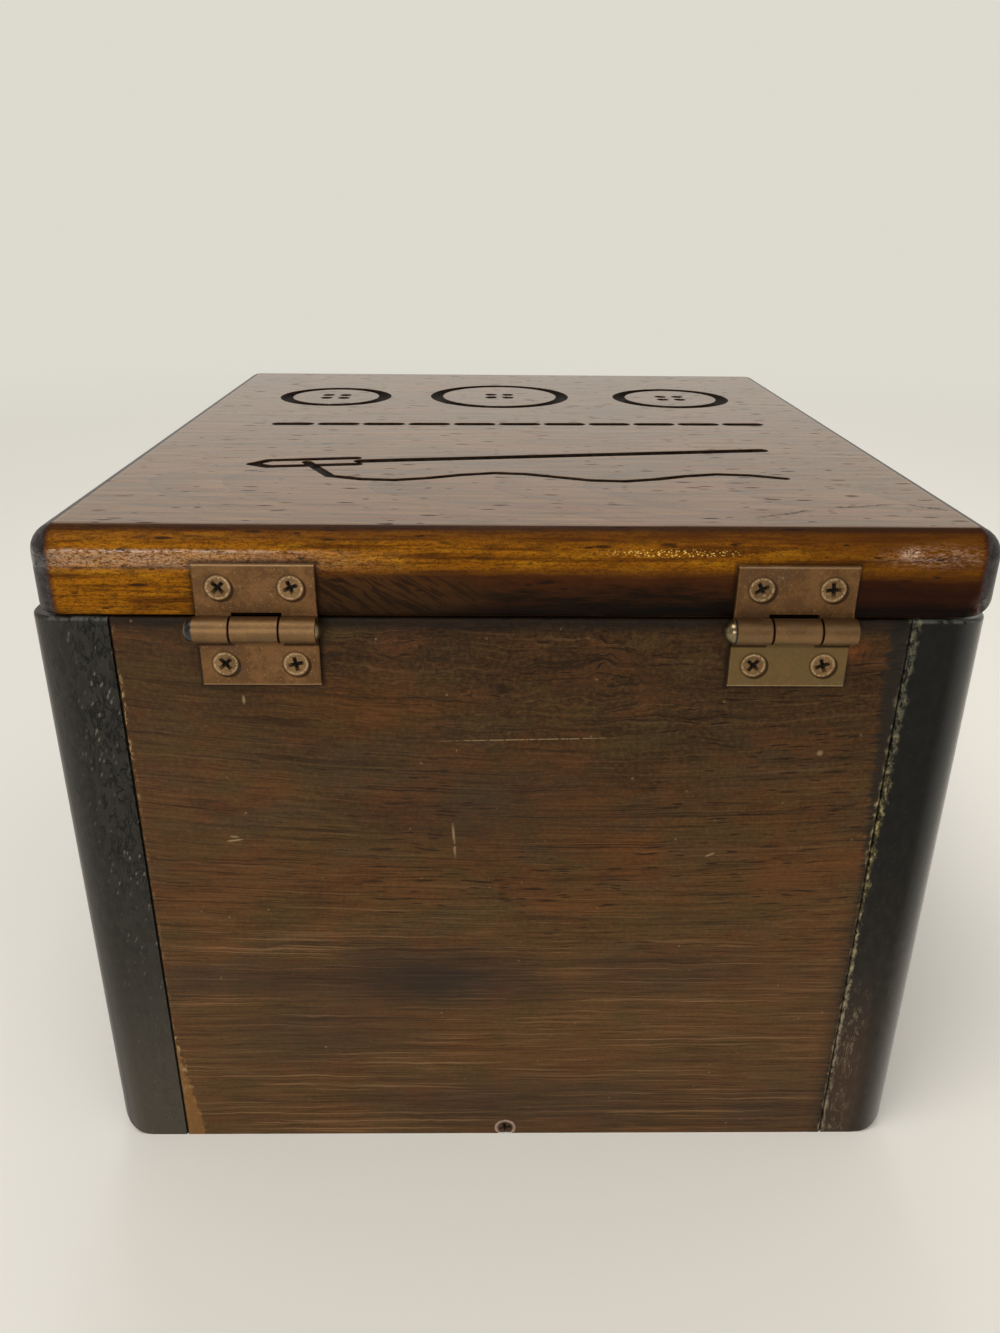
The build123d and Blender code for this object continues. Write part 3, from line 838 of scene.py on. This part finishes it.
    rough = 0.4 + 0.2 * mottle
    streaks = finish.cloud(place, (0.06, 1.3, 1.3), 4.0, 0.65)
    streaks = streaks.rise(0.3, 0.5) * 0.4 + 0.6
    top_varnish = (1.0 - edge) * streaks * (1.0 - dashes * 0.85) * (1.0 - burnt)
    glossy = flame.rise(0.42, 0.58) * z.rise(158.0, 160.0) * z.fall(162.8, 163.9) * behind
    glossy = glossy * (x.rise(10.0, 70.0) * 0.6 + x.rise(92.0, 98.0) * 0.8)
    varnish = top_varnish + edge * (0.01 + glossy + 0.4 * end_face)
    varnish = varnish * (1.0 - under)
    ripples = edge * (flame * 0.6 + crackle * 0.8) * (1.0 + 1.4 * end_face)
    height = fine * 0.1 + clouds * 0.8 + hairs * -0.5 - dashes * 0.8 + ripples
    normal = finish.bump(height, 0.1)
    values = {
        "Base Color": colour,
        "Roughness": rough,
        "Normal": normal,
        "Coat Weight": varnish,
        "Coat Roughness": 0.18,
        "Coat IOR": 1.5,
        "Specular IOR Level": 0.04,
    }
    return finish.surface(values)


lid_material = lid_wood()
print("lid wood:", len(lid_material.node_tree.nodes), "nodes")

# %% [markdown]
# The tray and its runners are plainer wood, lightly stained and rubbed smooth. The
# tray's pieces have their grain along their length, so there are two of these
# finishes: one with the grain along X and one along Y. The bottom board is bare.

# %% Inside wood


def plain_wood(name, light, dark, along, matte):
    """Lightly stained wood with its grain along one axis, "X" or "Y"."""
    finish = new_finish(name)
    place = finish.place()
    x, y, z = finish.parts(place)
    grain = finish.vector(x, y, z) if along == "X" else finish.vector(y, x, z)
    rings = ring_distance(finish, grain, (20.0, -60.0), (0.05, 0.1), 18.0)
    lines = ring_lines(finish, rings, 3.4, 2.2)
    fine = fibres(finish, grain, 0.4, 30.0)
    broad = fibres(finish, grain, 3.0, 60.0)
    late_wood, pore = [paint(*(int(v * share) for v in dark)) for share in (0.62, 0.4)]
    colour = finish.mix(broad.rise(0.3, 0.7), paint(*dark), paint(*light))
    colour = finish.mix(lines * 0.55, colour, late_wood)
    colour = finish.mix(fine.rise(0.5, 0.8) * 0.4, colour, late_wood)
    dashes = pores(finish, grain, 10.0, 0.8, 0.6, 0.25)
    colour = finish.mix(dashes * 0.7, colour, pore)
    normal = finish.bump(fine * 0.4 - dashes * 0.8 + lines * 0.2, 0.05)
    values = {"Base Color": colour, "Roughness": matte + 0.15 * fine, "Normal": normal}
    return finish.surface(values | {"Specular IOR Level": 0.4})


TRAY_LIGHT, TRAY_DARK = (150, 104, 62), (124, 82, 46)
tray_along_x = plain_wood("tray_wood_x", TRAY_LIGHT, TRAY_DARK, "X", 0.45)
tray_along_y = plain_wood("tray_wood_y", TRAY_LIGHT, TRAY_DARK, "Y", 0.45)
bottom_material = plain_wood("bottom_wood", (176, 140, 98), (154, 116, 76), "Y", 0.6)
print("inside woods:", tray_along_x.name, tray_along_y.name, bottom_material.name)

# %% [markdown]
# The hinges are brassed steel that has gone brown: satin metal with a copper cast,
# dark in the gaps between the knuckles, with painted shade under the knuckles and a
# painted highlight along the barrel. Their edges are rubbed bright and carry a painted
# highlight too, and the pin of the right hinge has painted shade over its head. The
# screws are a little yellower and have grime in their crosses; each head has a painted
# shadow beside it and a rim rubbed bright with a painted highlight.

# %% The metals
HEAD_RADIUS = 2.8
KNUCKLE_JOINT = 5.15
screws_low, screws_high = box_mm("right_hinge_lid_screws")
screws_foot = box_mm("right_hinge_body_screws")[0][2]
screw_aside = (screws_high[0] - screws_low[0]) / 2 - HEAD_RADIUS
axis_height = (screws_high[2] + screws_foot) / 2
screw_rise = (screws_high[2] - screws_foot) / 2 - HEAD_RADIUS
LEAF_FACE = screws_high[1]
bottom_screw_height = box_mm("bottom_screws")[1][2] - HEAD_RADIUS


def aged_metal(name, tones, polish, kind, recess_face=None):
    """Old plated metal: three tones from dark to rubbed, with the dirt, painted shade and painted
    highlights that its kind of piece holds.
    """
    finish = new_finish(name)
    place = finish.place()
    x, y, z = finish.parts(place)
    patches = finish.cloud(place, (0.22, 0.22, 0.22), 4.0, 0.65)
    grit = finish.cloud(place, (2.4, 2.4, 2.4), 4.0, 0.7)
    scratch = finish.cloud(place, (0.15, 4.0, 5.0), 2.0)
    dark, middle, bright = [paint(*tone) for tone in tones]
    colour = finish.mix(patches.rise(0.35, 0.65), dark, middle)
    colour = finish.mix(grit.rise(0.58, 0.75) * 0.6, colour, bright)
    colour = finish.mix(grit.fall(0.25, 0.4) * 0.6, colour, paint(58, 38, 22))
    metallic = 1.0 - 0.35 * patches.fall(0.3, 0.5)
    rough = polish + 0.25 * patches + 0.12 * scratch
    if kind == "leaf":
        low_left = z.fall(axis_height - 3.0, axis_height) * x.fall(-5.0, 5.0)
        colour = finish.mix(low_left * 0.55, colour, paint(116, 102, 66))
        # Rubbed bright, and a painted highlight: the leaf's top and foot edges are made lighter where they
        # catch the light.
        edges = z.rise(leaf_top - 0.5, leaf_top - 0.1).most(z.fall(leaf_foot + 0.1, leaf_foot + 0.5))
        colour = finish.mix(edges * 0.5, colour, bright)
        barrel = y.rise(LEAF_FACE + 0.3, LEAF_FACE + 1.2)
        rough = rough - barrel * 0.07
        aside = from_hinge(x)
        outer = aside.rise(KNUCKLE_JOINT - 0.2, KNUCKLE_JOINT + 0.2)
        # Painted shade: the leaf is darkened just under the knuckles, more so under the outer ones.
        below = z.rise(axis_height - 4.7, axis_height - 4.2) * z.fall(axis_height, axis_height + 0.5)
        knuckle_shadow = below * (1.0 - barrel) * (0.3 + 0.55 * outer)
        seams = (aside - KNUCKLE_JOINT).abs().fall(0.18, 0.38) * barrel
        colour = finish.stain(
            colour,
            # Painted highlight: the barrel is made lighter where it shines.
            (barrel * 0.3, 138, 114, 82),
            (knuckle_shadow, 32, 17, 11),
            (seams * 0.85, 46, 20, 12),
        )
    if kind == "pin":
        ends = [(x - low_high[1][0]).abs() for low_high in leaves.values()]
        # Dark seam where the pin meets the knuckles, widened on the right hinge's pin into painted shade
        # over its head.
        shadow = x.rise(60.0, 62.0) * 1.1
        seam = (ends[0].least(ends[1]) - shadow).fall(0.25, 0.6)
        colour = finish.mix(seam, colour, paint(14, 11, 8))
        metallic = metallic * (1.0 - seam)
    if kind in ("leaf", "screw"):
        from_screw = screw_distance(x, z)
        seat = from_screw.rise(HEAD_RADIUS - 0.2, HEAD_RADIUS)
        seat = seat * from_screw.fall(HEAD_RADIUS, HEAD_RADIUS + 0.4)
        # Painted shadow: a dark crescent beside the lower side of each head.
        lower_side = screw_distance(x + 0.5, z + 0.4).fall(HEAD_RADIUS - 0.1, HEAD_RADIUS + 0.2)
        head_shadow = from_screw.rise(HEAD_RADIUS - 0.15, HEAD_RADIUS + 0.05) * lower_side
        colour = finish.stain(
            colour,
            (seat * 0.45, 40, 26, 16),
            (head_shadow * 0.75, 36, 20, 12),
        )
        # Rubbed bright, and a painted highlight: a lighter ring on the rim of each head.
        rubbed = from_screw.rise(HEAD_RADIUS - 0.8, HEAD_RADIUS - 0.5)
        rubbed = rubbed * from_screw.fall(HEAD_RADIUS - 0.4, HEAD_RADIUS - 0.2)
        colour = finish.mix(rubbed * grit.rise(0.4, 0.55) * 0.6, colour, bright)
    if kind == "bottom screw":
        above = z - bottom_screw_height
        rim = (x * x + above * above).root().rise(HEAD_RADIUS - 0.9, HEAD_RADIUS - 0.5)
        colour = finish.mix(rim * grit.rise(0.35, 0.5) * 0.8, colour, bright)
    if recess_face is not None:
        hollow = y.abs().fall(recess_face - 0.8, recess_face - 0.3)
        colour = finish.mix(hollow, colour, paint(16, 10, 7))
        metallic = metallic * (1.0 - hollow)
        rough = rough.most(hollow * 0.8)
    normal = finish.bump(grit * 0.5 + scratch * 0.3, 0.02)
    values = {"Base Color": colour, "Roughness": rough, "Metallic": metallic, "Normal": normal}
    return finish.surface(values)


def screw_distance(x, z):
    """Distance on the leaves' plane to the middle of the nearest hinge screw."""
    aside = from_hinge(x) - screw_aside
    upright = (z - axis_height).abs() - screw_rise
    return (aside * aside + upright * upright).root()


HINGE_TONES = ((94, 67, 42), (126, 93, 60), (198, 166, 126))
SCREW_TONES = ((104, 80, 52), (134, 106, 73), (208, 180, 142))
BOTTOM_SCREW_TONES = ((74, 54, 42), (108, 84, 68), (206, 184, 168))
PIN_TONES = ((112, 98, 74), (148, 132, 100), (216, 204, 172))
NAIL_TONES = ((96, 92, 86), (128, 124, 118), (170, 166, 160))
hinge_material = aged_metal("hinge_brass", HINGE_TONES, 0.38, "leaf")
screw_material = aged_metal("screw_brass", SCREW_TONES, 0.3, "screw", LEAF_FACE)
bottom_screw_material = aged_metal("bottom_screw_brass", BOTTOM_SCREW_TONES, 0.5, "bottom screw", BACK)
pin_material = aged_metal("pin_steel", PIN_TONES, 0.12, "pin")
nail_material = aged_metal("nail_steel", NAIL_TONES, 0.4, "nail")
print("metals:", hinge_material.name, screw_material.name, nail_material.name)

# %% [markdown]
# Each solid keeps its mesh and gets its finish in its own material slot.

# %% Dress the solids


def dress(node, material):
    """Puts one finish in every material slot of a node."""
    mesh = nodes[node].data
    if not mesh.materials:
        mesh.materials.append(material)
    for i in range(len(mesh.materials)):
        mesh.materials[i] = material


def hinge_nodes(*parts):
    """The nodes of the same parts at both hinges."""
    return [side + "_hinge_" + part for side in ("right", "left") for part in parts]


finishes = {
    panel_material: ["back_panel", "front_panel"],
    side_material: ["right_side_board", "left_side_board"],
    lid_material: ["lid_board"],
    bottom_material: ["bottom_board"],
    tray_along_x: ["tray_front", "tray_back", "tray_floor_board", "tray_handle_divider"],
    tray_along_y: [
        "tray_right_end", "tray_left_end", "tray_back_right_divider", "tray_back_left_divider",
        "tray_front_divider", "right_tray_runner", "left_tray_runner",
    ],
    hinge_material: hinge_nodes("lid_leaf", "body_leaf"),
    pin_material: hinge_nodes("pin"),
    screw_material: hinge_nodes("lid_screws", "body_screws"),
    bottom_screw_material: ["bottom_screws"],
    nail_material: ["corner_nails", "runner_brads"],
}
for material, names in finishes.items():
    for node in names:
        dress(node, material)
dressed = {node for names in finishes.values() for node in names}
print("undressed nodes:", sorted(set(nodes) - dressed))

# %% [markdown]
# The lid's top carries a carved design, cut with a round-nosed bit and burnt dark: a
# needle with its thread, a row of running stitches and three four-hole buttons. The
# board's outline is already right in the solid, so the carved lid starts as a copy of
# it, and only the grooves are cut away.

# %% A clean copy of the lid board
MERGE_DISTANCE = 1e-6
FLAT_ANGLE = math.radians(0.5)


def deselect():
    bpy.ops.object.select_all(action="DESELECT")


def make_active(piece):
    deselect()
    piece.select_set(True)
    bpy.context.view_layer.objects.active = piece


def copy_of(node, name):
    """A new object with a merged copy of a node's mesh."""
    piece = bpy.data.objects.new(name, nodes[node].data.copy())
    bpy.context.scene.collection.objects.link(piece)
    make_active(piece)
    bpy.ops.object.mode_set(mode="EDIT")
    bpy.ops.mesh.select_all(action="SELECT")
    bpy.ops.mesh.remove_doubles(threshold=MERGE_DISTANCE)
    bpy.ops.mesh.dissolve_limited(angle_limit=FLAT_ANGLE)
    bpy.ops.object.mode_set(mode="OBJECT")
    return piece


carved_lid = copy_of("lid_board", "carved_lid")
print("lid copy:", len(carved_lid.data.polygons), "faces")

# %% [markdown]
# A round-nosed bit leaves a trough. Each cutter is therefore a round bar or ring that
# lies just above the board's face and dips into it by the depth of the cut. Its bars
# are balls whose upper halves were moved away, so their ends are round.

# %% The cutters
TOP = LID_TOP / MM
GROOVE_HALF = 0.0022
GROOVE_DEPTH = 0.0016
BIT = (GROOVE_HALF**2 + GROOVE_DEPTH**2) / (2 * GROOVE_DEPTH)
BIT_HEIGHT = TOP + BIT - GROOVE_DEPTH
EYE_BIT = BIT * 0.8
THREAD_BIT = BIT * 0.7
JUST_ABOVE_MIDDLE = 1e-7
HOLE_RADIUS = 0.0021
HOLE_SPREAD = 0.0042
STITCH_SHARE = 0.62
cutters = []


def ball_cutter(place, radius):
    """A ball, for a round hole or as the start of a bar."""
    bpy.ops.mesh.primitive_uv_sphere_add(segments=20, ring_count=12, radius=radius, location=place)
    cutters.append(bpy.context.object)
    return bpy.context.object


def bar_cutter(start, end, radius=BIT):
    """A round bar with ball ends between two points (x, y) in metres."""
    a = Vector((*start, BIT_HEIGHT))
    b = Vector((*end, BIT_HEIGHT))
    bar = ball_cutter((0, 0, 0), radius)
    for vertex in bar.data.vertices:
        if vertex.co.z > JUST_ABOVE_MIDDLE:
            vertex.co.z += (b - a).length
    turn = (b - a).to_track_quat("Z", "Y").to_matrix().to_4x4()
    bar.data.transform(Matrix.Translation(a) @ turn)


def stitches(start, end, count):
    """A straight row of running stitches."""
    a, b = Vector(start), Vector(end)
    for i in range(count):
        first = a + (b - a) * (i / count)
        last = a + (b - a) * ((i + STITCH_SHARE) / count)
        bar_cutter(first, last)


def button(middle, radius):
    """A four-hole button: a ring for its rim, and balls for its holes."""
    bpy.ops.mesh.primitive_torus_add(
        location=(*middle, BIT_HEIGHT),
        major_radius=radius,
        minor_radius=BIT,
        major_segments=64,
        minor_segments=16,
    )
    cutters.append(bpy.context.object)
    for turn in (45, 135, 225, 315):
        aside = HOLE_SPREAD * math.cos(math.radians(turn))
        ahead = HOLE_SPREAD * math.sin(math.radians(turn))
        ball_cutter((middle[0] + aside, middle[1] + ahead, TOP), HOLE_RADIUS)


deselect()
stitches((-0.078, -0.008), (0.074, -0.004), 11)
button((-0.059, -0.056), 0.018)
button((0.001, -0.058), 0.022)
button((0.058, -0.055), 0.017)
bar_cutter((-0.070, 0.030), (0.038, 0.046))
eye_sides = (((0.040, 0.0425), (0.062, 0.0458)), ((0.039, 0.0495), (0.061, 0.0528)))
for start, end in eye_sides:
    bar_cutter(start, end, EYE_BIT)
for start, end in eye_sides:
    bar_cutter(end, (0.0655, 0.0500), EYE_BIT)
thread = [(0.052, 0.0475)]
thread += [(0.044 - 0.008 * i, 0.0625 + 0.004 * math.sin(i * 0.9)) for i in range(15)]
for start, end in zip(thread, thread[1:]):
    bar_cutter(start, end, THREAD_BIT)
print("cutters:", len(cutters))

# %% [markdown]
# All cutters are joined into one and taken away in a single exact boolean, which keeps
# the crossing of two grooves clean.

# %% Carve the lid
SMOOTH_ANGLE = math.radians(32)
LARGEST_FACES_FIRST = 100

deselect()
for cutter in cutters:
    cutter.select_set(True)
bpy.context.view_layer.objects.active = cutters[0]
bpy.ops.object.join()
carver = bpy.context.object
make_active(carved_lid)
carving = carved_lid.modifiers.new("carving", "BOOLEAN")
carving.operation = "DIFFERENCE"
carving.object = carver
carving.solver = "EXACT"
carving.use_self = True
bpy.ops.object.modifier_apply(modifier="carving")
bpy.data.objects.remove(carver, do_unlink=True)
make_active(carved_lid)
bpy.ops.object.shade_smooth_by_angle(angle=SMOOTH_ANGLE)
evening = carved_lid.modifiers.new("evening", "WEIGHTED_NORMAL")
evening.keep_sharp = True
evening.weight = LARGEST_FACES_FIRST
bpy.ops.object.modifier_apply(modifier="evening")
carved_lid.data.materials.clear()
carved_lid.data.materials.append(lid_material)
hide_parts("lid_board")
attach(carved_lid, "lid")
print("carved lid:", len(carved_lid.data.polygons), "faces")
